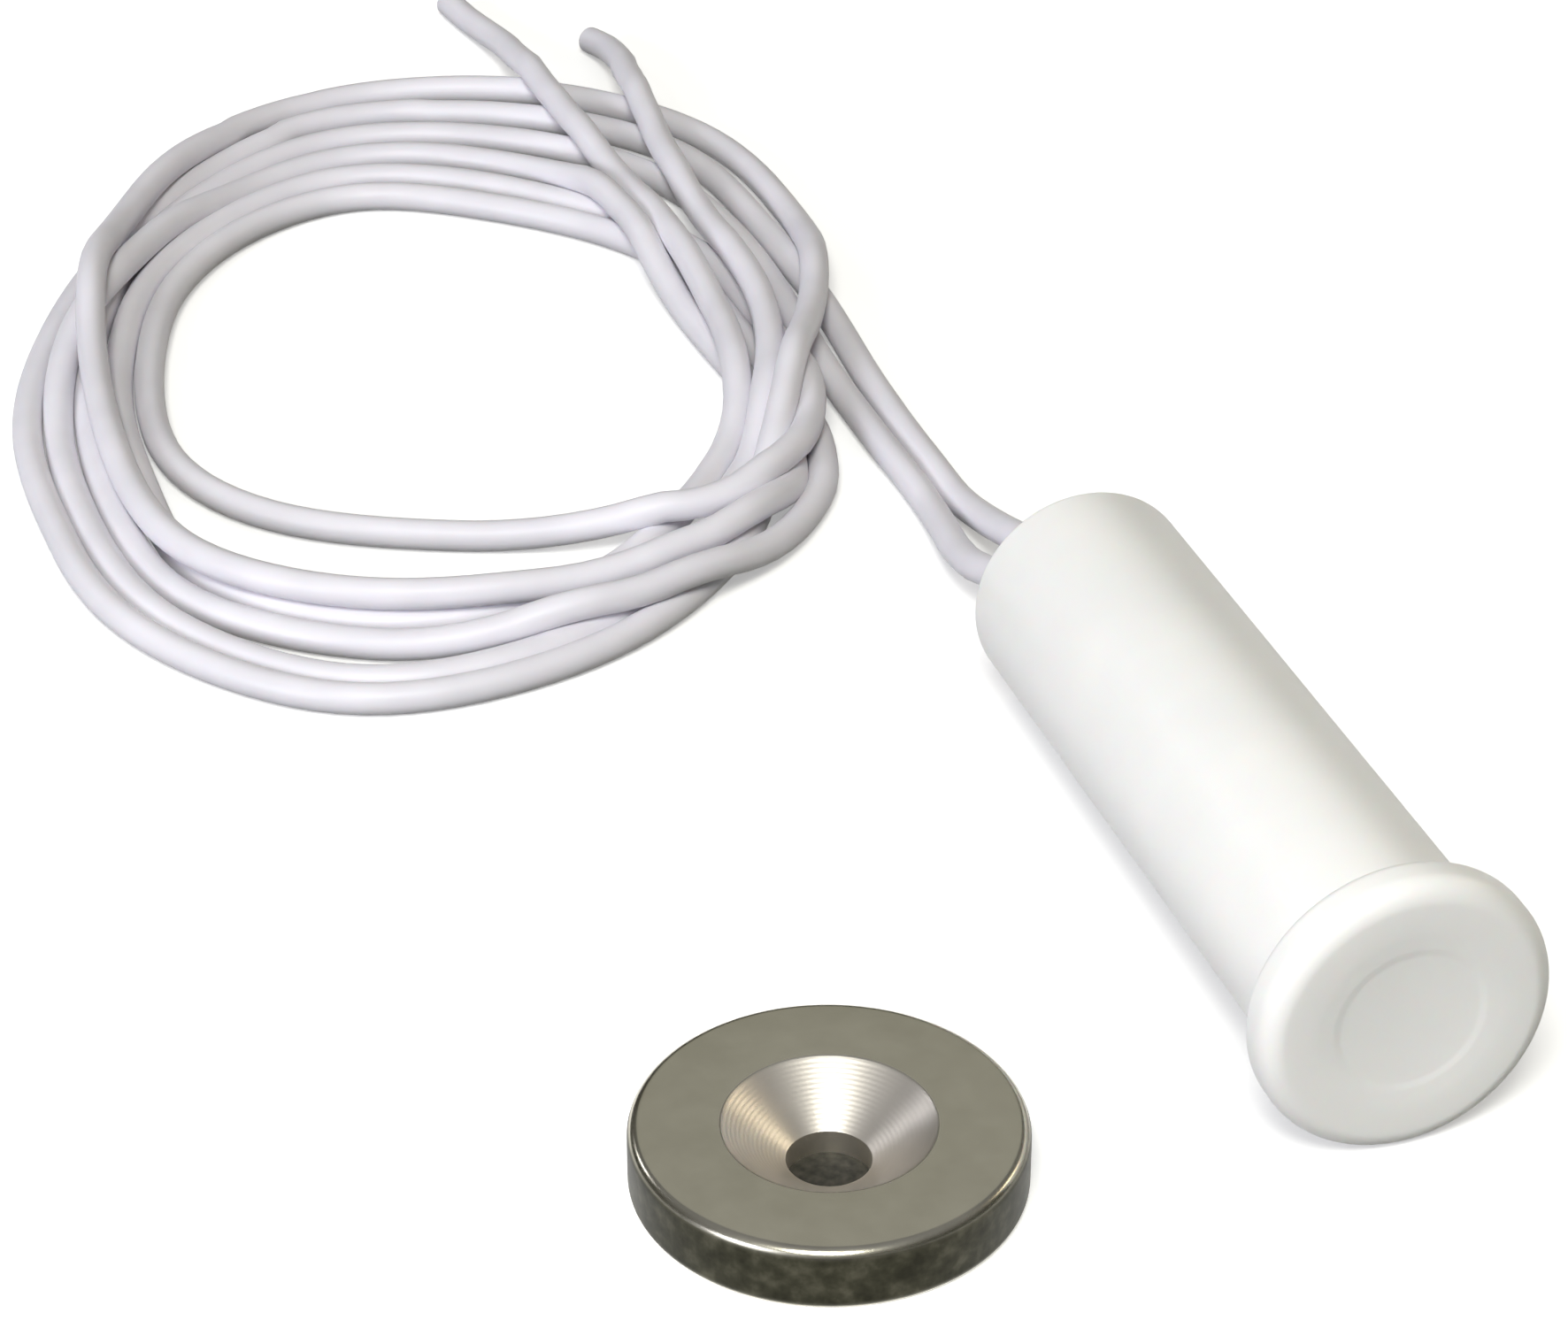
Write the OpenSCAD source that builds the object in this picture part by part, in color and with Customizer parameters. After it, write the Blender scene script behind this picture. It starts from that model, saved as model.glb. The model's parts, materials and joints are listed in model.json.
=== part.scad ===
// Recessed magnetic contact: a potted reed switch in a flanged barrel with two long leads,
// and the countersunk disc magnet that works it. Millimetres, +Z up, both lying on a table.

/* [Barrel] */
// Outside diameter of the barrel, the drilled hole that it presses into
barrel_d = 9.5; // [8.5:0.1:12]
// Overall length of the barrel, flange included
barrel_l = 33; // [31:0.5:45]
// Wall of the barrel
barrel_wall = 1; // [0.8:0.05:1.2]
// Rounding of the barrel's open end
tail_round = 0.3; // [0.1:0.05:0.4]

/* [Flange] */
// Outside diameter of the flange
flange_d = 11.7; // [11.4:0.1:15]
// Thickness of the flange
flange_t = 2; // [1.8:0.1:3]
// Rounding of the flange's front edge
front_round = 0.9; // [0.4:0.05:1]
// Rounding of the flange's back edge
back_round = 0.5; // [0.2:0.05:0.6]
// Thickness of the closed end in front of the cavity
face_wall = 1.5; // [1.2:0.1:1.7]
// Diameter of the shallow dish in the face
dish_d = 7.6; // [5:0.1:8.4]
// Depth of the dish at its centre
dish_depth = 0.15; // [0.05:0.05:0.3]

/* [Reed switch] */
// Diameter of the glass capsule
glass_d = 2.2; // [1.8:0.1:2.6]
// Length of the glass capsule
glass_l = 14; // [12:0.5:16]
// Wall of the glass capsule
glass_wall = 0.25; // [0.15:0.05:0.35]
// Length of the fused seal at each end of the capsule
seal_l = 1.6; // [1:0.1:2.2]
// Distance from the face to the front of the capsule
glass_setback = 8; // [7.5:0.1:9]
// Diameter of the round end of a reed
reed_d = 0.5; // [0.4:0.05:0.6]
// Width of a reed's flattened blade
blade_w = 1; // [0.7:0.05:1.2]
// Thickness of a reed's flattened blade
blade_t = 0.2; // [0.15:0.01:0.25]
// Air gap between the two blades
contact_gap = 0.08; // [0.05:0.01:0.12]
// Length over which the blades lie one above the other
blade_overlap = 1.2; // [0.6:0.1:2]
// Length of a reed outside the glass
reed_tail = 2.6; // [2:0.1:3]

/* [Leads] */
// Outside diameter of a lead
lead_d = 1.4; // [1.2:0.05:1.6]
// Diameter of the stranded conductor
core_d = 0.6; // [0.5:0.05:0.7]
// Clearance between the glass and the lead that runs past it
lead_clear = 0.2; // [0.1:0.05:0.4]
// Length of a soldered splice
splice_l = 1.8; // [1.2:0.1:2.2]
// Diameter of a soldered splice
splice_d = 1.2; // [1:0.05:1.4]
// Depth of the potting's surface below the open end
potting_recess = 0.5; // [0.2:0.05:1]

/* [Magnet] */
// Diameter of the magnet
magnet_d = 14.8; // [12:0.1:20]
// Thickness of the magnet
magnet_t = 2.7; // [2.4:0.1:5]
// Diameter of the screw hole
hole_d = 3.2; // [2.8:0.1:4.2]
// Diameter of the countersink at the top face
sink_d = 8; // [6:0.1:9]
// Depth of the countersink
sink_depth = 1.7; // [1:0.1:2]
// Rounding of the plated outer edges
magnet_round = 0.35; // [0.1:0.05:0.5]

/* [Layout] */
// Distance across from the barrel's axis to the magnet's axis
pair_spacing = 20.7; // [19:0.1:40]
// Distance that the magnet's axis lies behind the barrel's face
magnet_setback = 5; // [0:0.5:15]

/* [Hidden] */
$fn = 64;

// Radii
barrel_r = barrel_d / 2;
cavity_r = barrel_r - barrel_wall;
flange_r = flange_d / 2;
glass_r = glass_d / 2;
reed_r = reed_d / 2;
lead_r = lead_d / 2;
core_r = core_d / 2;
splice_r = splice_d / 2;
magnet_r = magnet_d / 2;
hole_r = hole_d / 2;

// The dish is the cap of a large ball
dish_r = dish_d / 2;
dish_ball_r = (dish_r * dish_r + dish_depth * dish_depth) / (2 * dish_depth);

// Stations along the barrel, measured back from the face
potting_end = barrel_l - potting_recess;
glass_end = glass_setback + glass_l;
front_splice_at = glass_setback - reed_tail;
rear_splice_at = glass_end + reed_tail;
bare_behind_splice = 0.6;
jacket_ahead_of_glass = 0.4;
jacket_a_start = rear_splice_at + splice_l / 2 + bare_behind_splice;
jacket_b_start = glass_setback - jacket_ahead_of_glass;
blade_root = 0.4;

// Lead a and the glass share one line, and lead b runs past the glass on the other side
lead_offset = (glass_r + lead_r + lead_clear) / 2;

// The barrel lies on the flange's back edge and on the edge of its open end, tangent to both roundings
rim_at = flange_t - back_round;
rim_run = barrel_l - tail_round - rim_at;
rim_rise = (flange_r - back_round) - (barrel_r - tail_round);
tilt = atan2(rim_rise, rim_run) + asin((back_round - tail_round) / norm([rim_run, rim_rise]));
face_z = rim_at * sin(tilt) + (flange_r - back_round) * cos(tilt) + back_round;

// The switch and the magnet stand centred on the origin
tail_reach = barrel_l * cos(tilt) + (barrel_r - tail_round) * sin(tilt);
barrel_x = (pair_spacing + magnet_r - flange_r) / 2;
magnet_x = barrel_x - pair_spacing;
face_y = -(tail_reach + magnet_setback - magnet_r) / 2;
magnet_y = face_y + magnet_setback;

// Height of the coil, two leads one above the other
coil_h = 3;
coil_meet_y = 46;
end_a_meet_y = 79;
end_b_meet_y = 75;

// Route of each lead from the barrel to the coil: across, along, and height above the table
tail_a_route = [[9.9, 20.6, 3.4], [9.4, 22.8, 2.7], [9.1, 25, 1.8], [9.0, 27.4, 0.8], [9.1, 29.9, 0.2],
    [9.3, 32.4, 0], [9.5, 35.2, 0], [9.7, 38, 0], [9.8, 40.8, 0], [9.8, 43.4, 0], [9.8, coil_meet_y, 0]];
tail_b_route = [[11.7, 20.6, 3.5], [11.3, 22.8, 2.9], [11.0, 25, 2.1], [10.8, 27.4, 1.1], [10.7, 29.9, 0.3],
    [10.8, 32.4, 0], [11.0, 35.2, 0], [11.2, 38, 0], [11.3, 40.8, 0], [11.3, 43.4, 0], [11.3, coil_meet_y, 0]];

// Route of each lead's free end, from the coil to the cut
end_a_route = [[4.2, end_a_meet_y, 1.4], [4.2, 80.6, 1.4], [3.9, 82.8, 1], [3.4, 85, 0.4], [2.8, 87.2, 0],
    [2, 89.4, 0]];
end_b_route = [[9.2, end_b_meet_y, 1.4], [9.2, 76.6, 1.4], [9.1, 78.6, 1], [8.9, 80.6, 0.4], [8.7, 82.8, 0]];

// Outer and inner outline of the coil, seen from above
coil_outer = [[9, coil_meet_y], [12.4, coil_meet_y], [13, 53], [13.4, 58], [13.3, 64], [12.2, 69],
    [10.2, end_b_meet_y], [8, end_b_meet_y], [5.2, end_a_meet_y], [3, end_a_meet_y], [1, 80.5], [-3.5, 81],
    [-9, 79.6], [-14, 76.5], [-18.5, 71.5], [-21.5, 65.5], [-24.6, 59.5], [-27, 54.5], [-28.2, 49],
    [-28.4, 43.5], [-27.6, 37.5], [-25.5, 31.5], [-22, 26.6], [-18, 24], [-14, 23.4], [-9, 24],
    [-4.5, 25.5], [-0.5, 27.6], [3.5, 30.6], [6.3, 34.2], [7.8, 38], [8.6, 42]];
coil_inner = [[3.9, 61], [4.2, 55], [4.6, 49], [4.3, 44], [1.8, 40], [-0.8, 36.4], [-5, 35.3],
    [-10, 37.2], [-16, 39.8], [-19.2, 42.2], [-20.6, 45.5], [-21, 50], [-20.2, 55], [-18.5, 60],
    [-15.5, 64.8], [-12, 67.6], [-8, 68.8], [-4, 67.8], [-0.5, 65.2], [2.2, 62.8]];

// Colours
white_plastic = "#F4F4F1";
white_vinyl = "#E9E8EC";
epoxy = "#E6E1D3";
glass_green = "#BFD6C9";
nickel_iron = "#A9A79F";
solder = "#C4C6C8";
copper = "#B8774A";
nickel = "#A8A698";

// A point of the switch, given across, up and back from the face, in the part's frame
function switch_point(u, v, s) = [barrel_x + u, face_y + s * cos(tilt) + v * sin(tilt),
    face_z - s * sin(tilt) + v * cos(tilt)];

// Where a lead leaves the potting, and a second point straight behind it
function exit_points(u) = [switch_point(u, 0, potting_end), switch_point(u, 0, potting_end + lead_d)];

// Route points with their heights above the table made heights of the lead's centre
function on_table(route) = [for (p = route) [p[0], p[1], p[2] + lead_r]];

// Direction of a route at its point i
function heading(path, i) =
    let (a = path[max(i - 1, 0)], b = path[min(i + 1, len(path) - 1)])
    (b - a) / norm(b - a);

// One ring of a tube, square to its route, with a corner straight down
function ring(centre, along, r, sides) =
    let (side = cross(along, [0, 0, 1]) / norm(cross(along, [0, 0, 1])), up = cross(side, along))
    [for (k = [0 : sides - 1]) centre + r * (cos(k * 360 / sides) * side + sin(k * 360 / sides) * up)];

// A tube along a route
module tube(path, r, sides = 8) {
    rings = len(path);
    points = [for (i = [0 : rings - 1]) each ring(path[i], heading(path, i), r, sides)];
    first_cap = [[for (k = [0 : sides - 1]) k]];
    last_cap = [[for (k = [sides - 1 : -1 : 0]) (rings - 1) * sides + k]];
    walls = [for (i = [0 : rings - 2], k = [0 : sides - 1])
        let (a = i * sides + k, b = i * sides + (k + 1) % sides)
        [a, a + sides, b + sides, b]];
    polyhedron(points = points, faces = concat(first_cap, walls, last_cap), convexity = 4);
}

// Puts what is modelled along +Z, from the face back, where the barrel lies
module place_switch() {
    translate([barrel_x, face_y, face_z]) rotate([-90 - tilt, 0, 0]) children();
}

// A round bar along the barrel, at one distance across, from one station to another
module bar(u, r, from, to) {
    translate([u, 0, from]) cylinder(r = r, h = to - from);
}

// Half section of the barrel and flange, solid: across, then back from the face
module housing_section() {
    translate([0, front_round]) square([flange_r, flange_t - front_round - back_round]);
    square([flange_r - front_round, flange_t]);
    translate([0, flange_t / 2]) square([flange_r - back_round, flange_t / 2]);
    translate([flange_r - front_round, front_round]) circle(r = front_round);
    translate([flange_r - back_round, flange_t - back_round]) circle(r = back_round);
    square([barrel_r, barrel_l - tail_round]);
    square([barrel_r - tail_round, barrel_l]);
    translate([barrel_r - tail_round, barrel_l - tail_round]) circle(r = tail_round);
}

// Moulded barrel and flange, closed at the dished face and open at the tail
module housing() {
    color(white_plastic) place_switch() difference() {
        rotate_extrude() difference() {
            housing_section();
            translate([0, dish_depth - dish_ball_r]) circle(r = dish_ball_r, $fn = 720);
        }
        translate([0, 0, face_wall]) cylinder(r = cavity_r, h = barrel_l);
    }
}

// Everything that the potting closes round
module potted_pieces() {
    glass_body();
    reed(front = true);
    reed(front = false);
    front_splice_body();
    rear_splice_body();
    bar(-lead_offset, lead_r, jacket_a_start, barrel_l);
    bar(lead_offset, lead_r, jacket_b_start, barrel_l);
    core_a_body();
    core_b_body();
}

// Epoxy that fills the barrel behind the face
module potting() {
    color(epoxy) place_switch() difference() {
        translate([0, 0, face_wall]) cylinder(r = cavity_r, h = potting_end - face_wall);
        potted_pieces();
    }
}

// Outer form of the glass capsule, with its rounded seals
module glass_body() {
    translate([-lead_offset, 0, glass_setback]) rotate_extrude() {
        translate([0, glass_r]) square([glass_r, glass_l - glass_d]);
        intersection() {
            translate([0, glass_r]) circle(r = glass_r);
            square([glass_r, glass_l]);
        }
        intersection() {
            translate([0, glass_l - glass_r]) circle(r = glass_r);
            square([glass_r, glass_l]);
        }
    }
}

// Sealed glass capsule with the gas space inside
module reed_glass() {
    color(glass_green, 0.6) place_switch() difference() {
        glass_body();
        bar(-lead_offset, glass_r - glass_wall, glass_setback + seal_l, glass_end - seal_l);
        bar(-lead_offset, reed_r, glass_setback - 1, glass_end + 1);
    }
}

// A reed: a round end through the seal, flattened to a blade inside the glass
module reed(front) {
    middle = glass_setback + glass_l / 2;
    seal = front ? glass_setback + seal_l : glass_end - seal_l;
    root = front ? seal + blade_root : seal - blade_root;
    tip = front ? middle + blade_overlap / 2 : middle - blade_overlap / 2;
    outer = front ? front_splice_at : rear_splice_at;
    lift = (blade_t + contact_gap) / 2 * (front ? 1 : -1);
    bar(-lead_offset, reed_r, min(outer, root), max(outer, root));
    translate([-lead_offset - blade_w / 2, lift - blade_t / 2, min(tip, seal)])
        cube([blade_w, blade_t, abs(tip - seal)]);
}

module front_reed() {
    color(nickel_iron) place_switch() reed(front = true);
}

module rear_reed() {
    color(nickel_iron) place_switch() reed(front = false);
}

// Solder round the joint of the front reed and lead b's conductor
module front_splice_body() {
    translate([-lead_offset, 0, front_splice_at]) sphere(r = splice_r);
}

module front_splice() {
    color(solder) place_switch() difference() {
        front_splice_body();
        reed(front = true);
        core_b_body();
    }
}

// Solder round the joint of the rear reed and lead a's conductor
module rear_splice_body() {
    bar(-lead_offset, splice_r, rear_splice_at - splice_l / 2, rear_splice_at + splice_l / 2);
}

module rear_splice() {
    color(solder) place_switch() difference() {
        rear_splice_body();
        reed(front = false);
        core_a_body();
    }
}

// Lead a's conductor, straight behind the rear reed
module core_a_body() {
    bar(-lead_offset, core_r, rear_splice_at, potting_end);
}

// Lead b's conductor runs forward past the glass and across to the front reed
module core_b_body() {
    bend_at = front_splice_at - core_r;
    bar(lead_offset, core_r, bend_at, potting_end);
    translate([lead_offset, 0, bend_at]) sphere(r = core_r);
    translate([lead_offset, 0, bend_at]) rotate([0, -90, 0]) cylinder(r = core_r, h = 2 * lead_offset);
}

module lead_a_core() {
    color(copper) place_switch() core_a_body();
}

module lead_b_core() {
    color(copper) place_switch() core_b_body();
}

// The insulation of a lead inside the barrel
module jacket(u, start) {
    color(white_vinyl) place_switch() difference() {
        bar(u, lead_r, start, potting_end);
        bar(u, core_r, start - 1, potting_end + 1);
    }
}

module lead_a_jacket() {
    jacket(-lead_offset, jacket_a_start);
}

module lead_b_jacket() {
    jacket(lead_offset, jacket_b_start);
}

// The leads between the barrel and the coil
module lead_a_tail() {
    color(white_vinyl) tube(concat(exit_points(-lead_offset), on_table(tail_a_route)), lead_r);
}

module lead_b_tail() {
    color(white_vinyl) tube(concat(exit_points(lead_offset), on_table(tail_b_route)), lead_r);
}

// The outer shape of both leads' three loose turns
module lead_coil() {
    color(white_vinyl) linear_extrude(height = coil_h) difference() {
        polygon(coil_outer);
        polygon(coil_inner);
    }
}

// The leads' free ends
module lead_a_end() {
    color(white_vinyl) tube(on_table(end_a_route), lead_r);
}

module lead_b_end() {
    color(white_vinyl) tube(on_table(end_b_route), lead_r);
}

// Disc magnet with a countersunk screw hole and rounded plated edges
module magnet() {
    color(nickel) translate([magnet_x, magnet_y, 0]) difference() {
        rotate_extrude() {
            square([magnet_r - magnet_round, magnet_t]);
            translate([0, magnet_round]) square([magnet_r, magnet_t - 2 * magnet_round]);
            for (z = [magnet_round, magnet_t - magnet_round])
                translate([magnet_r - magnet_round, z]) circle(r = magnet_round);
        }
        translate([0, 0, -1]) cylinder(r = hole_r, h = magnet_t + 2);
        translate([0, 0, magnet_t - sink_depth])
            cylinder(r1 = hole_r, r2 = sink_d / 2, h = sink_depth);
    }
}

housing();
potting();
reed_glass();
front_reed();
rear_reed();
front_splice();
rear_splice();
lead_a_core();
lead_b_core();
lead_a_jacket();
lead_b_jacket();
lead_a_tail();
lead_b_tail();
lead_coil();
lead_a_end();
lead_b_end();
magnet();
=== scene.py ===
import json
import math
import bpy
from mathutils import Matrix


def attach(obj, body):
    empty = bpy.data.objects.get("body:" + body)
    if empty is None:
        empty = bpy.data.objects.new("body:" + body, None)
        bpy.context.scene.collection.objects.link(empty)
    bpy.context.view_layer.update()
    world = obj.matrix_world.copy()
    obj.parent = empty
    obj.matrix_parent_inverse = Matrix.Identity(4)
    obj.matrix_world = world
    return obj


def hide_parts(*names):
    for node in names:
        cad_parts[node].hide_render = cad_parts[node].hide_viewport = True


bl_info = {
    "name": "Recessed magnetic contact",
    "version": (1, 0, 0),
    "blender": (4, 5, 0),
    "location": "View3D > Sidebar > Contact",
    "description": "Potted reed switch in a white barrel with two coiled leads, and its countersunk magnet",
    "category": "Object",
}

import bpy
import numpy as np
from mathutils import Matrix, Quaternion, Vector

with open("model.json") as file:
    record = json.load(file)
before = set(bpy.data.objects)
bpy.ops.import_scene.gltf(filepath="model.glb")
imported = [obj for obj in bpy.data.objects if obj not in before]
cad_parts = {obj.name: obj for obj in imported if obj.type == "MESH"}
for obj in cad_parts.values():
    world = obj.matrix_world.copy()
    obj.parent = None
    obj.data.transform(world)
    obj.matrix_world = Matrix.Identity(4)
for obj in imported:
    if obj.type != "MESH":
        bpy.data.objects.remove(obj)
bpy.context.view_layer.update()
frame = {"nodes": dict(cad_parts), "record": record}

MM = 0.001
BLACK = (0.0, 0.0, 0.0, 1.0)
WHITE = (1.0, 1.0, 1.0, 1.0)

# Edges that turn by less than this many degrees are shaded smooth
SMOOTH_UNDER = 40

# Sockets of the Mix node when it mixes colours
MIX_FACTOR = 0
MIX_FIRST = 6
MIX_SECOND = 7
MIX_RESULT = 2

# The barrel lies tilted on the table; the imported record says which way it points
BARREL_MOUNT = next(m for m in frame["record"]["mounts"] if m["name"] == "barrel")
BARREL_AXIS = Vector(BARREL_MOUNT["axis"])
BARREL_L = 33 * MM
FLANGE_T = 2 * MM
FACE_CENTRE = Vector((11.125, -15.36816, 5.89954)) * MM

# Walls of the housing, roundings of its edges, and the depth of the dish in its face
BARREL_WALL = 1 * MM
FACE_WALL = 1.5 * MM
FRONT_ROUND = 0.9 * MM
BACK_ROUND = 0.5 * MM
TAIL_ROUND = 0.3 * MM
DISH_DEPTH = 0.15 * MM

# The mould's gate leaves a faint round mark in the face
GATE_R = 2.9 * MM
GATE_STEP = 0.03 * MM

# The magnet stands on the table round its screw hole
HOLE_MOUNT = next(m for m in frame["record"]["mounts"] if m["name"] == "magnet_hole")
MAGNET_CENTRE = Vector((HOLE_MOUNT["pos_m"][0], HOLE_MOUNT["pos_m"][1], 0))

# Rounding of the edge where the countersink meets the magnet's top
SINK_ROUND = 0.2 * MM

# Routes of the leads in millimetres: across, along, and height of the underside above the table
EXIT_A = [[10.125, 17.112, 4.054], [10.125, 18.511, 3.9]]
TAIL_A = [[9.9, 20.6, 3.1], [9.5, 22.8, 2.1], [9.2, 25, 1.3], [9.3, 27.4, 0.7], [9.6, 29.9, 0.3],
          [9.8, 32.4, 0], [9.75, 35.2, 0], [9.6, 38, 0], [9.5, 40.8, 0], [9.4, 43.4, 0], [9.4, 46, 0]]
EXIT_B = [[12.125, 17.112, 4.054], [12.125, 18.511, 4.005]]
TAIL_B = [[11.9, 20.6, 3.6], [11.6, 22.8, 3.0], [11.4, 25, 2.2], [11.3, 27.4, 1.4], [11.3, 29.9, 0.6],
          [11.2, 32.4, 0.1], [11.15, 35.2, 0], [11.05, 38, 0], [11, 40.8, 0], [11, 43.4, 0], [11.1, 46, 0]]
END_A = [[4.4, 79, 1.2], [4.3, 80.6, 0.9], [4.2, 82.8, 0.5], [3.9, 85, 0.2], [3.5, 87.2, 0], [3.1, 89.4, 0]]
END_B = [[9.0, 75, 1.3], [9.2, 76.6, 1.1], [9.4, 78.6, 0.7], [9.4, 80.8, 0.3], [9.0, 82.6, 0]]

# The coil is wound counterclockwise, seen from above. Each row is one turn: its distance from the
# coil's middle in millimetres at every 22.5 degrees from +X, and the layer that it lies in there.
# LEAVING takes a lead out of the coil: distances, layers, and their bearings in degrees
COIL_MIDDLE = (-7, 52)
COIL_STATION = 22.5
TURNS_A = [
    ([16.6, 17.9, 20.8, 22.7, 23.7, 20.8, 18.3, 17.2, 17.3, 19.4, 23.7, 25.0, 24.9, 23.2, 19.6, 15.2],
     [0, 0, 0, 0, 0, 0, 0, 0, 0, 0, 0, 0, 0.5, 1, 0.6, 0]),
    ([13.4, 14.2, 14.5, 15.3, 17.6, 16.9, 15.5, 14.2, 14.4, 15.8, 16.2, 15.85, 16.9, 20.2, 19.0, 16.3],
     [0, 0, 0, 0, 0, 0, 0, 0, 0, 0, 0, 0, 0, 1, 1, 0.4]),
    ([14.9, 15.8, 15.9, 17.5, 19.6, 18.3, 16.9, 15.6, 15.9, 17.5, 22.0, 23.4, 21.6, 17.5, 15.5, 13.3],
     [0, 0, 0, 0, 0, 0, 0, 0, 0, 0, 0, 0, 0, 0, 0.5, 1]),
]
LEAVING_A = ([12.8, 14.0, 17.5, 25.4], [1, 1, 1, 1], [0, 22.5, 45, 63])
TURNS_B = [
    ([18.4, 19.5, 23.6, 25.4, 25.7, 22.1, 19.7, 19.1, 20.2, 22.3, 26.8, 29.4, 26.3, 21.5, 17.4, 16.6],
     [0, 0, 0, 0, 0, 0, 0, 0, 0, 0, 0, 0, 0, 0, 0.5, 1]),
    ([18.2, 21.4, 25.9, 28.2, 27.7, 22.8, 18.9, 17.0, 16.7, 18.5, 22.3, 23.2, 22.5, 21.6, 18.0, 13.3],
     [1, 0.5, 0, 0, 0, 0.9, 1, 1, 1, 1, 1, 1, 1, 1, 0.5, 0]),
    ([11.9, 12.6, 16.0, 20.1, 21.7, 19.6, 17.6, 17.6, 18.7, 20.9, 25.4, 28.0, 24.8, 20.0, 16.5, 15.2],
     [0, 0.5, 1, 0.5, 0, 0, 1, 0, 0, 0, 0, 0, 0, 0, 0.5, 1]),
]
LEAVING_B = ([15.2, 16.3, 21.5], [1, 1, 1], [0, 22.5, 45])

# Millimetres between two points of a lead's centre line, and how often its wobbles are eased
LINE_STEP = 1.0
EASE_TIMES = 12

# Points near the barrel and at the free ends are held: how far left of the tail's last point they
# reach, and how far past the free end's second point they begin, in millimetres
HELD_ASIDE = 2
HELD_PAST = 0.5

# How the strands settle: rounds in all, rounds from one search for neighbours to the next, and
# pushes in a round. The gap between centre lines and the reach along one lead are in diameters,
# the margin of the search and the sag of each round are in millimetres
SETTLE_ROUNDS = 360
SEARCH_EVERY = 20
PUSHES = 3
STRAND_GAP = 1.005
OWN_REACH = 3
SEARCH_MARGIN = 0.6
SAG = 0.01

# What is kept of a strand's drift in each round, and how hard touching strands push each other:
# over all, and where they cross, sideways and upwards
DRIFT_KEPT = 0.96
PUSH = 1.3
PUSH_ASIDE = 0.25
PUSH_UP = 1.4

# Each lead's conductor shows in its cut end: length of the stub, and how far it stands out
WIRE_END_L = 1 * MM
WIRE_END_OUT = 0.06 * MM

# Camera of the photograph; its lens is in millimetres
CAMERA_AT = Vector((-55.275, -141.595, 113.417)) * MM
CAMERA_LOOKS_AT = Vector((-0.118, 23.062, 0)) * MM
CAMERA_LENS = 111.33

# Side of the paper floor, in metres
FLOOR_SIZE = 6

# A dark disc under the magnet's hole: the dark table that stood under the magnet, and painted shade in the
# hole
HOLE_SPOT_R = 1.9 * MM
HOLE_SPOT_UP = 0.01 * MM

# Soft lamps round the table: place in metres, size in metres, power in watts, colour
LAMPS = (
    ("key_above_front", (-0.12, -0.26, 0.40), 0.16, 1.62, "FFFFF8"),
    ("softbox_left", (-0.42, -0.20, 0.18), 0.18, 1.48, "F3F4FF"),
    ("card_behind", (0.12, 0.38, 0.32), 0.30, 0.085, "F4F4E8"),
    ("strip_behind_left", (-0.24, 0.36, 0.26), 0.06, 0.1, "F7F7FF"),
    ("strip_right", (0.36, 0.06, 0.22), 0.08, 0.12, "FFEFD0"),
)
LAMPS_LOOK_AT = Vector((0, 0.02, 0))

# Light that the room gives besides the lamps, and the glow that keeps the floor white
ROOM_LIGHT = 0.36
FLOOR_GLOW = 0.35


def srgb(code):
    """The linear RGBA colour of an sRGB hex code such as F4F4F1."""
    parts = [int(code[i:i + 2], 16) / 255 for i in (0, 2, 4)]
    return (*[c / 12.92 if c <= 0.04045 else ((c + 0.055) / 1.055) ** 2.4 for c in parts], 1.0)


def new_material(name):
    """An empty node material with its output, ready for add_node."""
    material = bpy.data.materials.new(name)
    material.use_nodes = True
    material.node_tree.nodes.clear()
    output = material.node_tree.nodes.new("ShaderNodeOutputMaterial")
    return material, material.node_tree, output


def add_node(tree, kind, settings=None, sockets=None, links=None):
    """Adds one node, sets its properties and input values, and links its inputs."""
    node = tree.nodes.new(kind)
    for key, value in (settings or {}).items():
        setattr(node, key, value)
    for key, value in (sockets or {}).items():
        node.inputs[key].default_value = value
    for key, source in (links or {}).items():
        tree.links.new(source, node.inputs[key])
    return node


def set_ramp(node, stops):
    """Gives a colour ramp its stops, as pairs of place and colour."""
    ramp = node.color_ramp
    while len(ramp.elements) > 1:
        ramp.elements.remove(ramp.elements[-1])
    ramp.elements[0].position, ramp.elements[0].color = stops[0]
    for place, colour in stops[1:]:
        ramp.elements.new(place).color = colour


def give(obj, material):
    """The object wears this one material."""
    obj.data.materials.clear()
    obj.data.materials.append(material)


# Materials

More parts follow.
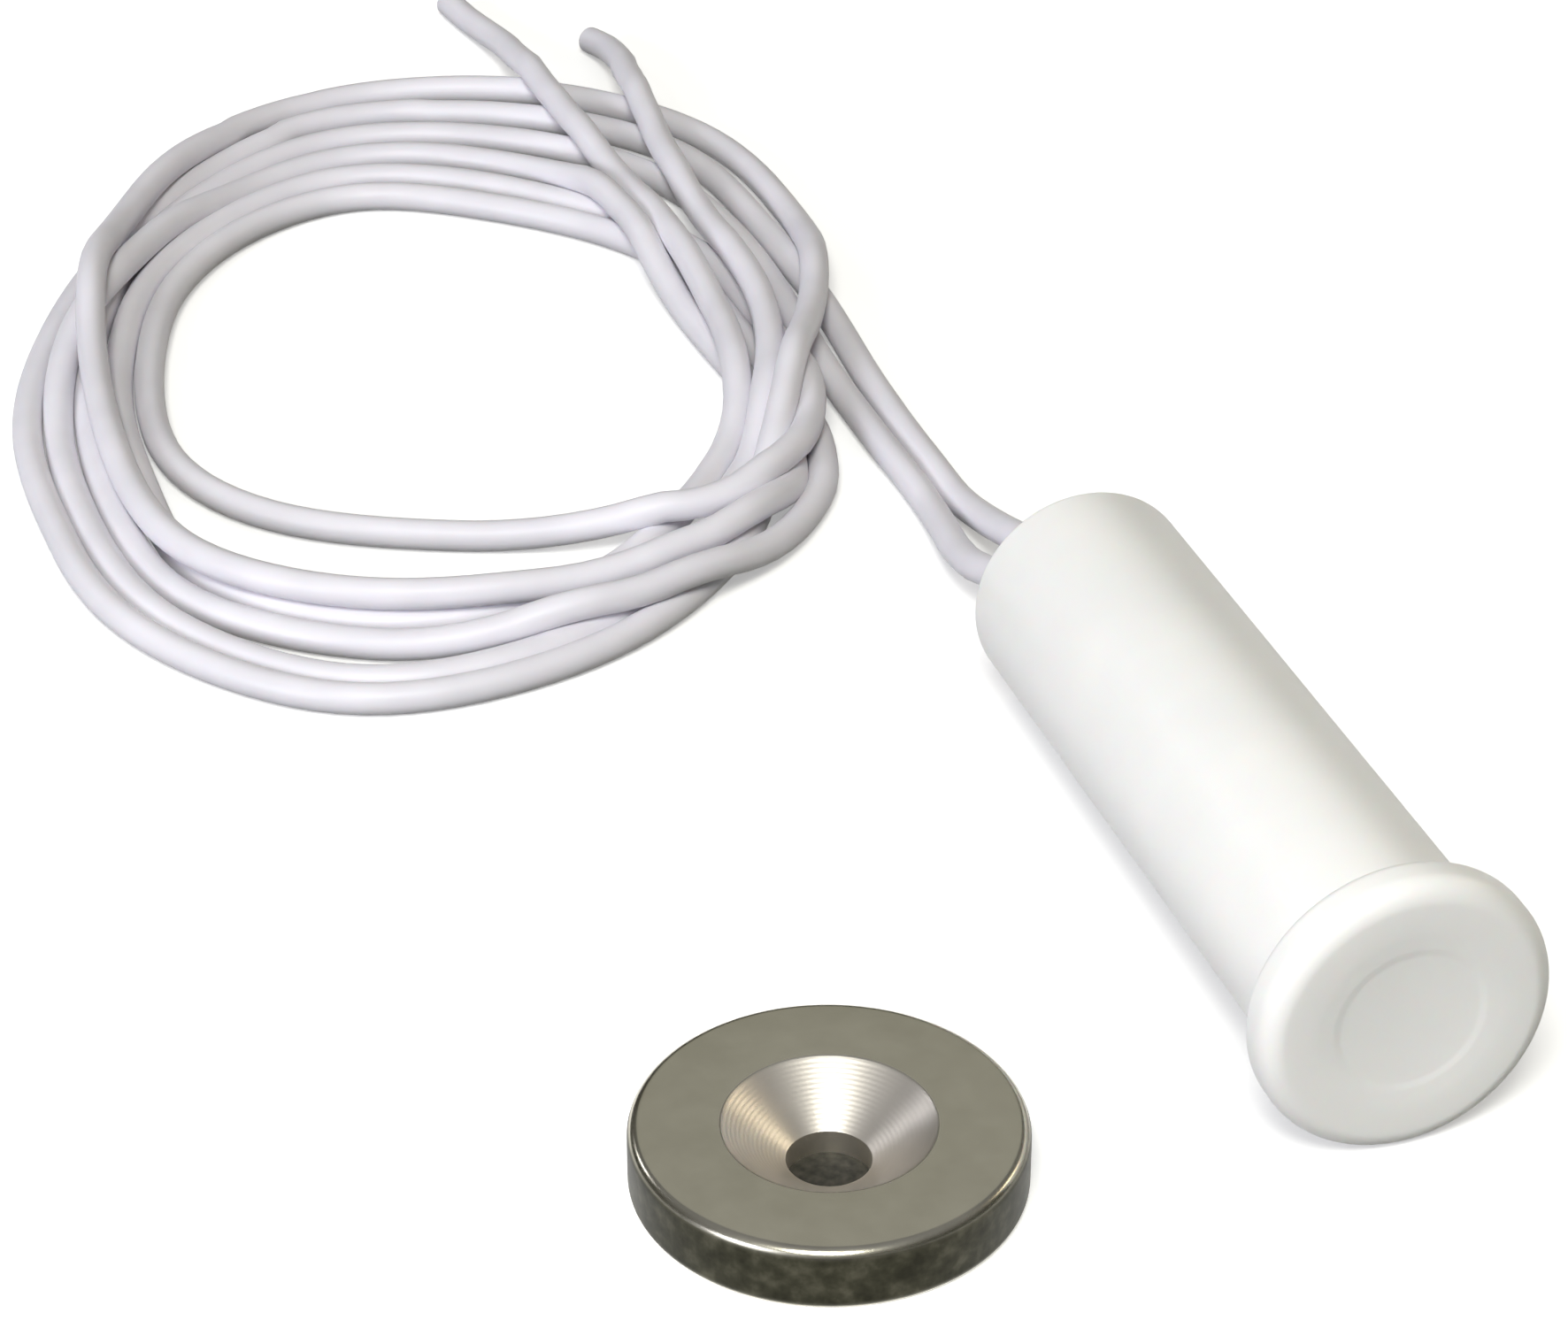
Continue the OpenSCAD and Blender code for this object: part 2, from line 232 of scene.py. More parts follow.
def abs_moulded_white(colour):
    """ABS, injection moulded in a lightly etched cavity: very white, satin, with a hint of unevenness.

    The etch is drawn at 0.25 mm, coarser than a real one, so that it shows.
    """
    material, tree, output = new_material("abs_moulded_white")
    place = add_node(tree, "ShaderNodeTexCoord")
    flow = add_node(tree, "ShaderNodeTexNoise", sockets={"Scale": 1 / (6 * MM), "Detail": 2.0},
                    links={"Vector": place.outputs["Object"]})
    tone = add_node(tree, "ShaderNodeValToRGB", links={"Fac": flow.outputs["Fac"]})
    set_ramp(tone, [(0.3, srgb(colour)), (0.7, srgb("FAF9F5"))])
    etch = add_node(tree, "ShaderNodeTexNoise", sockets={"Scale": 1 / (0.25 * MM), "Detail": 3.0},
                    links={"Vector": place.outputs["Object"]})
    bump = add_node(tree, "ShaderNodeBump", sockets={"Strength": 0.12, "Distance": 0.02 * MM},
                    links={"Height": etch.outputs["Fac"]})
    gloss = add_node(tree, "ShaderNodeMapRange", sockets={"To Min": 0.34, "To Max": 0.46},
                     links={"Value": flow.outputs["Fac"]})
    skin = add_node(tree, "ShaderNodeBsdfPrincipled",
                    sockets={"IOR": 1.53, "Subsurface Weight": 0.15, "Subsurface Scale": 0.6 * MM},
                    links={"Base Color": tone.outputs["Color"], "Roughness": gloss.outputs["Result"],
                           "Normal": bump.outputs["Normal"]})
    tree.links.new(skin.outputs["BSDF"], output.inputs["Surface"])
    return material


def pvc_extruded_white(colour):
    """Plasticised PVC insulation, extruded: white with a cool cast, glossier than the barrel."""
    material, tree, output = new_material("pvc_extruded_white")
    place = add_node(tree, "ShaderNodeTexCoord")
    batch = add_node(tree, "ShaderNodeTexNoise", sockets={"Scale": 1 / (5 * MM), "Detail": 2.0},
                     links={"Vector": place.outputs["Object"]})
    tone = add_node(tree, "ShaderNodeValToRGB", links={"Fac": batch.outputs["Fac"]})
    set_ramp(tone, [(0.3, srgb(colour)), (0.7, srgb("E8E6EC"))])
    drag = add_node(tree, "ShaderNodeTexNoise", sockets={"Scale": 1 / (0.6 * MM), "Detail": 2.0},
                    links={"Vector": place.outputs["Object"]})
    bump = add_node(tree, "ShaderNodeBump", sockets={"Strength": 0.1, "Distance": 0.03 * MM},
                    links={"Height": drag.outputs["Fac"]})
    skin = add_node(tree, "ShaderNodeBsdfPrincipled",
                    sockets={"IOR": 1.5, "Roughness": 0.46, "Subsurface Weight": 0.08,
                             "Subsurface Scale": 0.3 * MM},
                    links={"Base Color": tone.outputs["Color"], "Normal": bump.outputs["Normal"]})
    tree.links.new(skin.outputs["BSDF"], output.inputs["Surface"])
    return material


def nickel_plate(colour, radius, sink_r):
    """Bright nickel on a pressed magnet: satin faces, a turned cone painted paler (painted reflection) and
    a rougher flank painted dark (painted shade).

    The grain and the cone's turning lines are drawn coarser than real ones, so that they show.
    """
    material, tree, output = new_material("nickel_plate")
    # Places along the radius, as shares of it, where the cone's finish and painted reflection give way to
    # the faces, and these to the flank's rougher finish and painted shade
    cone_ends = sink_r / radius
    cone_blur = 0.01
    flank_starts = 0.985
    flank_full = 0.997
    rings_per_radius = math.tau * radius / (0.16 * MM)

    place = add_node(tree, "ShaderNodeTexCoord")
    centre = add_node(tree, "ShaderNodeMapping", {"vector_type": "POINT"},
                      {"Location": (-MAGNET_CENTRE.x, -MAGNET_CENTRE.y, 0)},
                      {"Vector": place.outputs["Object"]})
    flat = add_node(tree, "ShaderNodeVectorMath", {"operation": "MULTIPLY"},
                    {1: (1 / radius, 1 / radius, 0)}, {0: centre.outputs["Vector"]})
    outward = add_node(tree, "ShaderNodeVectorMath", {"operation": "LENGTH"},
                       links={0: flat.outputs["Vector"]})
    cone = add_node(tree, "ShaderNodeValToRGB", links={"Fac": outward.outputs["Value"]})
    set_ramp(cone, [(cone_ends - cone_blur, WHITE), (cone_ends + cone_blur, BLACK)])
    flank = add_node(tree, "ShaderNodeValToRGB", links={"Fac": outward.outputs["Value"]})
    set_ramp(flank, [(flank_starts, BLACK), (flank_full, WHITE)])

    haze = add_node(tree, "ShaderNodeTexNoise", sockets={"Scale": 1 / (1.6 * MM), "Detail": 2.0},
                    links={"Vector": centre.outputs["Vector"]})
    plate = add_node(tree, "ShaderNodeValToRGB", links={"Fac": haze.outputs["Fac"]})
    set_ramp(plate, [(0.3, srgb(colour)), (0.7, srgb("D2CEBE"))])
    # The flank's dark colour, in blotches, is painted shade: a painted reflection of the dark room low
    # down. Only its rougher finish is the metal's own.
    mottle = add_node(tree, "ShaderNodeTexNoise", sockets={"Scale": 1 / (0.7 * MM), "Detail": 3.0},
                      links={"Vector": centre.outputs["Vector"]})
    flank_painted_shade = add_node(tree, "ShaderNodeValToRGB", links={"Fac": mottle.outputs["Fac"]})
    set_ramp(flank_painted_shade, [(0.3, srgb("2A2920")), (0.5, srgb("38372C")), (0.72, srgb("4E4C40"))])
    # The cone's paler colour is a painted reflection of the light above; its rougher finish and turning
    # lines are the metal's own.
    faces = add_node(tree, "ShaderNodeMix", {"data_type": "RGBA"}, {MIX_SECOND: srgb("E8E2D8")},
                     {MIX_FACTOR: cone.outputs["Color"], MIX_FIRST: plate.outputs["Color"]})
    tone = add_node(tree, "ShaderNodeMix", {"data_type": "RGBA"},
                    links={MIX_FACTOR: flank.outputs["Color"], MIX_FIRST: faces.outputs[MIX_RESULT],
                           MIX_SECOND: flank_painted_shade.outputs["Color"]})

    satin = add_node(tree, "ShaderNodeMapRange", sockets={"To Min": 0.2, "To Max": 0.27},
                     links={"Value": haze.outputs["Fac"]})
    softer = add_node(tree, "ShaderNodeMath", {"operation": "MULTIPLY_ADD"}, {1: 0.16},
                      {0: cone.outputs["Color"], 2: satin.outputs["Result"]})
    gloss = add_node(tree, "ShaderNodeMath", {"operation": "MULTIPLY_ADD"}, {1: 0.22},
                     {0: flank.outputs["Color"], 2: softer.outputs["Value"]})

    grain = add_node(tree, "ShaderNodeTexNoise", sockets={"Scale": 1 / (0.12 * MM), "Detail": 3.0},
                     links={"Vector": centre.outputs["Vector"]})
    bump = add_node(tree, "ShaderNodeBump", sockets={"Strength": 0.3, "Distance": 0.008 * MM},
                    links={"Height": grain.outputs["Fac"]})
    phase = add_node(tree, "ShaderNodeMath", {"operation": "MULTIPLY"}, {1: rings_per_radius},
                     {0: outward.outputs["Value"]})
    rings = add_node(tree, "ShaderNodeMath", {"operation": "SINE"}, links={0: phase.outputs["Value"]})
    turning = add_node(tree, "ShaderNodeMath", {"operation": "MULTIPLY"},
                       links={0: rings.outputs["Value"], 1: cone.outputs["Color"]})
    lathe = add_node(tree, "ShaderNodeBump", sockets={"Strength": 0.22, "Distance": 0.006 * MM},
                     links={"Height": turning.outputs["Value"], "Normal": bump.outputs["Normal"]})
    metal = add_node(tree, "ShaderNodeBsdfPrincipled", sockets={"Metallic": 1.0},
                     links={"Base Color": tone.outputs[MIX_RESULT], "Roughness": gloss.outputs["Value"],
                            "Normal": lathe.outputs["Normal"]})
    tree.links.new(metal.outputs["BSDF"], output.inputs["Surface"])
    return material


def plain_speckled(name, dark, light, spot, metallic, roughness, ior=1.5, transmission=0.0):
    """A plain material whose tone varies a little, in spots of the given size."""
    material, tree, output = new_material(name)
    place = add_node(tree, "ShaderNodeTexCoord")
    spots = add_node(tree, "ShaderNodeTexNoise", sockets={"Scale": 1 / spot, "Detail": 3.0},
                     links={"Vector": place.outputs["Object"]})
    tone = add_node(tree, "ShaderNodeValToRGB", links={"Fac": spots.outputs["Fac"]})
    set_ramp(tone, [(0.3, srgb(dark)), (0.7, srgb(light))])
    skin = add_node(tree, "ShaderNodeBsdfPrincipled",
                    sockets={"Metallic": metallic, "Roughness": roughness, "IOR": ior,
                             "Transmission Weight": transmission},
                    links={"Base Color": tone.outputs["Color"]})
    tree.links.new(skin.outputs["BSDF"], output.inputs["Surface"])
    return material


def studio_white():
    """Seamless paper: the camera and reflections see it white, with the shadows that fall on it.

    What bounces from it onto the object is darker and warmer.
    """
    material, tree, output = new_material("studio_white")
    path = add_node(tree, "ShaderNodeLightPath")
    sees = add_node(tree, "ShaderNodeMath", {"operation": "ADD", "use_clamp": True},
                    links={0: path.outputs["Is Camera Ray"], 1: path.outputs["Is Glossy Ray"]})
    seen = add_node(tree, "ShaderNodeMath", {"operation": "ADD", "use_clamp": True},
                    links={0: sees.outputs["Value"], 1: path.outputs["Is Transmission Ray"]})
    tone = add_node(tree, "ShaderNodeMix", {"data_type": "RGBA"},
                    {MIX_FIRST: srgb("4E4D40"), MIX_SECOND: WHITE},
                    {MIX_FACTOR: seen.outputs["Value"]})
    glow = add_node(tree, "ShaderNodeMath", {"operation": "MULTIPLY"}, {1: FLOOR_GLOW},
                    {0: seen.outputs["Value"]})
    paper = add_node(tree, "ShaderNodeBsdfDiffuse", links={"Color": tone.outputs[MIX_RESULT]})
    light = add_node(tree, "ShaderNodeEmission", links={"Strength": glow.outputs["Value"]})
    both = add_node(tree, "ShaderNodeAddShader",
                    links={0: paper.outputs["BSDF"], 1: light.outputs["Emission"]})
    tree.links.new(both.outputs["Shader"], output.inputs["Surface"])
    return material


# Shapes

def start_piece(name, at):
    """A single vertex of a new mesh, in edit mode, to be drawn out into a profile."""
    bpy.ops.object.select_all(action="DESELECT")
    bpy.ops.mesh.primitive_plane_add(size=MM, location=(0, 0, 0))
    piece = bpy.context.active_object
    piece.name = name
    piece.data.name = name
    bpy.ops.object.mode_set(mode="EDIT")
    bpy.ops.mesh.select_mode(type="VERT")
    bpy.ops.mesh.select_all(action="SELECT")
    bpy.ops.mesh.merge(type="CENTER")
    bpy.ops.transform.translate(value=at)
    return piece


def arc(centre, radius, start, end, steps):
    """Points on an arc of the profile, angles in degrees."""
    angles = [math.radians(start + (end - start) * i / steps) for i in range(steps + 1)]
    return [(centre[0] + radius * math.cos(a), centre[1] + radius * math.sin(a)) for a in angles]


def turned(name, profile, steps):
    """A closed shape of revolution about Z: its profile, pairs of radius and height, is drawn and spun."""
    points = [Vector((radius, 0, height)) for radius, height in profile]
    piece = start_piece(name, points[0])
    for last, point in zip(points, points[1:]):
        bpy.ops.mesh.extrude_vertices_move(TRANSFORM_OT_translate={"value": point - last})
    bpy.ops.mesh.select_all(action="SELECT")
    bpy.ops.mesh.spin(steps=steps, angle=math.tau, center=(0, 0, 0), axis=(0, 0, 1))
    bpy.ops.mesh.select_all(action="SELECT")
    bpy.ops.mesh.remove_doubles(threshold=0.0005 * MM)
    bpy.ops.mesh.normals_make_consistent(inside=False)
    bpy.ops.object.mode_set(mode="OBJECT")
    bpy.ops.object.shade_smooth_by_angle(angle=math.radians(SMOOTH_UNDER))
    return piece


def lay_down(piece, turn, at):
    """Turns and places a finished piece and puts its place into its mesh."""
    bpy.ops.object.select_all(action="DESELECT")
    piece.select_set(True)
    bpy.context.view_layer.objects.active = piece
    piece.matrix_world = Matrix.Translation(at) @ turn.to_matrix().to_4x4()
    bpy.ops.object.transform_apply(location=True, rotation=True, scale=True)
    return piece


# Leads

def through(points, step):
    """Points about one step apart on a smooth curve through the given points."""
    p = np.array(points, float)
    p = np.vstack([2 * p[0] - p[1], p, 2 * p[-1] - p[-2]])
    out = []
    for a, b, c, d in zip(p[:-3], p[1:-2], p[2:-1], p[3:]):
        count = max(1, round(float(np.linalg.norm(c - b)) / step))
        for t in np.arange(count) / count:
            out.append(0.5 * (2 * b + (c - a) * t + (2 * a - 5 * b + 4 * c - d) * t * t
                              + (3 * b - a - 3 * c + d) * t ** 3))
    out.append(p[-2])
    return np.array(out)


def coil_points(turns, leaving, diameter):
    """The turns of one lead in the coil: its centre line in millimetres, at its underside's height."""
    stations = []
    for radii, layers in turns:
        for i, (radius, layer) in enumerate(zip(radii, layers)):
            stations.append((i * COIL_STATION, radius, layer))
    stations += list(zip(leaving[2], leaving[0], leaving[1]))
    points = []
    for bearing, radius, layer in stations:
        angle = math.radians(bearing)
        across = COIL_MIDDLE[0] + radius * math.cos(angle)
        along = COIL_MIDDLE[1] + radius * math.sin(angle)
        points.append([across, along, layer * diameter])
    return points


def evened(values, index):
    """The values at these places, each blended with the ones before and after it."""
    return 0.5 * values[index] + 0.25 * (values[index - 1] + values[index + 1])


def eased(line, times):
    """The same line with its small wobbles taken out, seen from above."""
    line = line.copy()
    inner = np.arange(1, len(line) - 1)
    for _ in range(times):
        line[inner, :2] = evened(line[:, :2], inner)
    return line


def neighbours(points, strand, order, diameter):
    """Pairs of points that lie close together, on two strands or well apart along one."""
    away = np.linalg.norm(points[:, None] - points[None], axis=2)
    near = (away < diameter * STRAND_GAP + SEARCH_MARGIN) & (np.triu(np.ones_like(away), 1) > 0)
    other = strand[:, None] != strand[None]
    apart = np.abs(order[:, None] - order[None]) > OWN_REACH * diameter
    return np.nonzero(near & (other | apart))


def pushed_apart(points, one, two, diameter):
    """The points after one push: strands that cross move more up than sideways."""
    gap = diameter * STRAND_GAP
    delta = points[one] - points[two]
    length = np.maximum(np.linalg.norm(delta, axis=1), 1e-6)
    push = (np.clip(gap - length, 0, None) * 0.5 / length)[:, None] * delta
    crossing = np.abs(delta[:, 2]) > 0.5 * diameter
    push[crossing, :2] *= PUSH_ASIDE
    push[crossing, 2] *= PUSH_UP
    total = np.zeros_like(points)
    np.add.at(total, one, push)
    np.add.at(total, two, -push)
    count = np.zeros(len(points))
    np.add.at(count, one, length < gap)
    np.add.at(count, two, length < gap)
    return points + total / np.maximum(count, 1)[:, None] * PUSH


def settle(lines, held, diameter):
    """Lays the strands beside and on each other: a diameter apart, down on the table, bent evenly."""
    home = np.vstack(lines)
    points = home.copy()
    strand = np.concatenate([np.full(len(line), i) for i, line in enumerate(lines)])
    order = np.concatenate([np.arange(len(line)) for line in lines])
    inner = np.flatnonzero((order > 0) & np.append(strand[1:] == strand[:-1], False))
    for turn in range(SETTLE_ROUNDS):
        if turn % SEARCH_EVERY == 0:
            one, two = neighbours(points, strand, order, diameter)
        drift = points - home
        bent = points.copy()
        bent[inner, :2] = home[inner, :2] + DRIFT_KEPT * evened(drift[:, :2], inner)
        bent[inner, 2] = evened(points[:, 2], inner) - SAG
        points = bent
        for _ in range(PUSHES):
            points = pushed_apart(points, one, two, diameter)
            points[:, 2] = np.maximum(points[:, 2], 0)
            points[held] = home[held]
    ends = np.cumsum([0] + [len(line) for line in lines])
    return [points[start:end] for start, end in zip(ends, ends[1:])]


def lead_lines(diameter):
    """Centre lines of both leads in metres, from the barrel to the free end, settled in the coil."""
    lines = []
    held = []
    parts = ((EXIT_A + TAIL_A, TURNS_A, LEAVING_A, END_A), (EXIT_B + TAIL_B, TURNS_B, LEAVING_B, END_B))
    for tail, turns, leaving, end in parts:
        line = through(tail + coil_points(turns, leaving, diameter) + end, LINE_STEP)
        line[:, 2] = np.maximum(line[:, 2], 0)
        at_barrel = (line[:, 1] < tail[-3][1]) & (line[:, 0] > tail[-1][0] - HELD_ASIDE)
        fixed = at_barrel | (line[:, 1] > end[1][1] + HELD_PAST)
        lines.append(np.where(fixed[:, None], line, eased(line, EASE_TIMES)))
        held.append(fixed)
    settled = settle(lines, np.concatenate(held), diameter)
    return [(line + [0, 0, diameter / 2]) * MM for line in settled]


def cord_from(name, line, diameter):
    """One lead as a round curve along its centre line, cut square at both ends."""
    curve = bpy.data.curves.new(name, "CURVE")
    curve.dimensions = "3D"
    curve.bevel_depth = diameter / 2
    curve.bevel_resolution = 8
    curve.use_fill_caps = True
    spline = curve.splines.new("POLY")
    spline.points.add(len(line) - 1)
    for point, place in zip(spline.points, line):
        point.co = (*place, 1)
    spline.use_smooth = True
    lead = bpy.data.objects.new(name, curve)
    bpy.context.scene.collection.objects.link(lead)
    return lead


def wire_end(name, line, radius):
    """Seven copper strands, three across, that stand a hair out of the cut end of a lead."""
    tip = Vector(line[-1])
    along = (tip - Vector(line[-2])).normalized()
    turn = Vector((0, 0, 1)).rotation_difference(along)
    strand_r = radius / 3
    places = [(0, 0, 0)]
    for i in range(6):
        bearing = i * math.tau / 6
        places.append((2 * strand_r * math.cos(bearing), 2 * strand_r * math.sin(bearing), 0))
    bpy.ops.object.select_all(action="DESELECT")
    strands = []
    for place in places:
        bpy.ops.mesh.primitive_cylinder_add(vertices=16, radius=strand_r, depth=WIRE_END_L, location=place)
        strands.append(bpy.context.active_object)
    for strand in strands:
        strand.select_set(True)
    bpy.ops.object.join()
    wire = bpy.context.active_object
    wire.name = name
    bpy.ops.object.transform_apply(location=True, rotation=True, scale=True)
    bpy.ops.object.shade_smooth_by_angle(angle=math.radians(SMOOTH_UNDER))
    return lay_down(wire, turn, tip + along * (WIRE_END_OUT - WIRE_END_L / 2))


# Sizes and colours that a user would change

class HousingSettings(bpy.types.PropertyGroup):
    barrel_d: bpy.props.FloatProperty(
        name="Barrel diameter", description="Outside diameter of the barrel",
        default=9.5 * MM, unit="LENGTH")
    flange_d: bpy.props.FloatProperty(
        name="Flange diameter", description="Outside diameter of the flange",
        default=11.7 * MM, unit="LENGTH")
    dish_d: bpy.props.FloatProperty(
        name="Dish diameter", description="Diameter of the shallow dish in the face",
        default=7.6 * MM, unit="LENGTH")
    colour: bpy.props.StringProperty(
        name="Colour", description="sRGB hex colour of the moulded plastic", default="F4F4F1")


class LeadSettings(bpy.types.PropertyGroup):
    diameter: bpy.props.FloatProperty(
        name="Lead diameter", description="Outside diameter of a lead",
        default=1.4 * MM, unit="LENGTH")
    length_a: bpy.props.FloatProperty(
        name="Lead a length", description="Length of lead a outside the barrel",
        default=420 * MM, unit="LENGTH")
    length_b: bpy.props.FloatProperty(
        name="Lead b length", description="Length of lead b outside the barrel",
        default=480 * MM, unit="LENGTH")
    wire_d: bpy.props.FloatProperty(
        name="Conductor diameter", description="Diameter over the seven copper strands",
        default=0.6 * MM, unit="LENGTH")
    colour: bpy.props.StringProperty(
        name="Colour", description="sRGB hex colour of the insulation", default="DCDAE0")


class MagnetSettings(bpy.types.PropertyGroup):
    diameter: bpy.props.FloatProperty(
        name="Magnet diameter", description="Outside diameter of the magnet",
        default=14.8 * MM, unit="LENGTH")
    thickness: bpy.props.FloatProperty(
        name="Magnet thickness", description="Thickness of the magnet", default=2.7 * MM, unit="LENGTH")
    hole_d: bpy.props.FloatProperty(
        name="Screw hole", description="Diameter of the screw hole", default=3.2 * MM, unit="LENGTH")
    sink_d: bpy.props.FloatProperty(
        name="Countersink", description="Diameter of the countersink at the top face",
        default=8 * MM, unit="LENGTH")
    sink_depth: bpy.props.FloatProperty(
        name="Countersink depth", description="Depth of the countersink", default=1.7 * MM, unit="LENGTH")
    rounding: bpy.props.FloatProperty(
        name="Edge rounding", description="Rounding of the outer edges", default=0.45 * MM, unit="LENGTH")
    colour: bpy.props.StringProperty(
        name="Colour", description="sRGB hex colour of the plating", default="C8C4B4")


# Stage

def facing(at, target):
    """The turn that makes a camera or a lamp at one place look at another."""
    return (target - at).to_track_quat("-Z", "Y").to_euler()


def photo_camera(scene):
    """The camera that the photograph was taken with, at its place."""
    data = bpy.data.cameras.new("photo_camera")
    data.sensor_width = 36
    data.lens = CAMERA_LENS
    camera = bpy.data.objects.new("photo_camera", data)
    camera.location = CAMERA_AT
    camera.rotation_euler = facing(CAMERA_AT, CAMERA_LOOKS_AT)
    scene.collection.objects.link(camera)
    scene.camera = camera


def paper_floor():
    """The white paper, and a dark disc under the magnet's hole: the dark table seen through it, and painted
    shade in the hole.
    """
    bpy.ops.object.select_all(action="DESELECT")
    bpy.ops.mesh.primitive_plane_add(size=FLOOR_SIZE, location=(0, 0, 0))
    floor = bpy.context.active_object
    floor.name = "floor"
    give(floor, studio_white())
    # Dark disc under the hole: the dark table, and painted shade in the hole
    bpy.ops.mesh.primitive_circle_add(vertices=32, radius=HOLE_SPOT_R, fill_type="NGON",
                                      location=MAGNET_CENTRE + Vector((0, 0, HOLE_SPOT_UP)))
    spot = bpy.context.active_object
    spot.name = "dark_table_and_shade_in_the_hole"
    give(spot, plain_speckled("dark_table_and_painted_shade", "1C1B16", "48463D",
                              spot=0.4 * MM, metallic=0.0, roughness=0.6))


def studio_room(scene):
    """The camera sees white all round; the object is lit by a room that is darker low down."""
    world = bpy.data.worlds.new("studio")
    world.use_nodes = True
    tree = world.node_tree
    tree.nodes.clear()
    output = tree.nodes.new("ShaderNodeOutputWorld")
    path = add_node(tree, "ShaderNodeLightPath")
    place = add_node(tree, "ShaderNodeTexCoord")
    split = add_node(tree, "ShaderNodeSeparateXYZ", links={0: place.outputs["Generated"]})
    sky = add_node(tree, "ShaderNodeValToRGB", links={"Fac": split.outputs["Z"]})
    set_ramp(sky, [(0.0, srgb("4A493D")), (0.4, srgb("7C7A6E")), (1.0, srgb("E6E6EA"))])
    room = add_node(tree, "ShaderNodeBackground", sockets={"Strength": ROOM_LIGHT},
                    links={"Color": sky.outputs["Color"]})
    white = add_node(tree, "ShaderNodeBackground", sockets={"Color": WHITE, "Strength": 1.0})
    mix = add_node(tree, "ShaderNodeMixShader",
                   links={0: path.outputs["Is Camera Ray"], 1: room.outputs["Background"],
                          2: white.outputs["Background"]})
    tree.links.new(mix.outputs["Shader"], output.inputs["Surface"])
    scene.world = world


def soft_lamp(scene, name, at, size, power, tint):
    """One square soft lamp that looks at the table."""
    light = bpy.data.lights.new(name, "AREA")
    light.shape = "SQUARE"
    light.size = size
    light.energy = power
    light.color = srgb(tint)[:3]
    lamp = bpy.data.objects.new(name, light)
    lamp.location = at
    lamp.rotation_euler = facing(lamp.location, LAMPS_LOOK_AT)
    scene.collection.objects.link(lamp)


# Operators

class CONTACT_OT_stage(bpy.types.Operator):
    """White paper, soft studio light and the camera of the photograph"""
    bl_idname = "contact.stage"
    bl_label = "Stage"

    def execute(self, context):
        scene = context.scene
        scene.view_settings.view_transform = "Standard"
        photo_camera(scene)
        paper_floor()
        studio_room(scene)
        for lamp in LAMPS:
            soft_lamp(scene, *lamp)
        return {"FINISHED"}


class CONTACT_OT_leads(bpy.types.Operator):
    """Both leads, from the potting through the coil to their free ends"""
    bl_idname = "contact.leads"
    bl_label = "Leads"

    def execute(self, context):
        settings = context.scene.contact_lead
        vinyl = pvc_extruded_white(settings.colour)
        line_a, line_b = lead_lines(settings.diameter / MM)
        # Bare copper strands, cut: reddish and a little dull
        copper = plain_speckled("copper_stranded", "A8683C", "C98C60",
                                spot=0.2 * MM, metallic=1.0, roughness=0.34)
        jobs = (("lead_a", line_a, settings.length_a, ("lead_a_tail", "lead_coil", "lead_a_end")),
                ("lead_b", line_b, settings.length_b, ("lead_b_tail", "lead_b_end")))
        for name, line, length, nodes in jobs:
            lead = cord_from(name, line, settings.diameter)
            give(lead, vinyl)
            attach(lead, "root")
            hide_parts(*nodes)
            wire = wire_end(name + "_conductor_end", line, settings.wire_d / 2)
            give(wire, copper)
            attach(wire, "root")
        return {"FINISHED"}


class CONTACT_OT_housing(bpy.types.Operator):
    """The moulded barrel and flange, one piece"""
    bl_idname = "contact.housing"
    bl_label = "Housing"

    def execute(self, context):
        settings = context.scene.contact_housing
        barrel_r = settings.barrel_d / 2
        flange_r = settings.flange_d / 2
        dish_r = settings.dish_d / 2
        cavity_r = barrel_r - BARREL_WALL
        ball_r = (dish_r ** 2 + DISH_DEPTH ** 2) / (2 * DISH_DEPTH)
        dish_half = math.degrees(math.asin(dish_r / ball_r))
        profile = [(0, FACE_WALL), (cavity_r, FACE_WALL), (cavity_r, BARREL_L)]
        profile += arc((barrel_r - TAIL_ROUND, BARREL_L - TAIL_ROUND), TAIL_ROUND, 90, 0, steps=6)
        profile += [(barrel_r, FLANGE_T)]
        profile += arc((flange_r - BACK_ROUND, FLANGE_T - BACK_ROUND), BACK_ROUND, 90, 0, steps=8)
        profile += arc((flange_r - FRONT_ROUND, FRONT_ROUND), FRONT_ROUND, 0, -90, steps=14)
        dish = arc((0, DISH_DEPTH - ball_r), ball_r, 90 - dish_half, 90, steps=24)
        profile += [(r, h + GATE_STEP if r < GATE_R else h) for r, h in dish]
        housing = turned("barrel_and_flange", profile, steps=160)
        lay_down(housing, Vector((0, 0, 1)).rotation_difference(BARREL_AXIS), FACE_CENTRE)
        give(housing, abs_moulded_white(settings.colour))
        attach(housing, "root")
        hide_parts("housing")
        return {"FINISHED"}


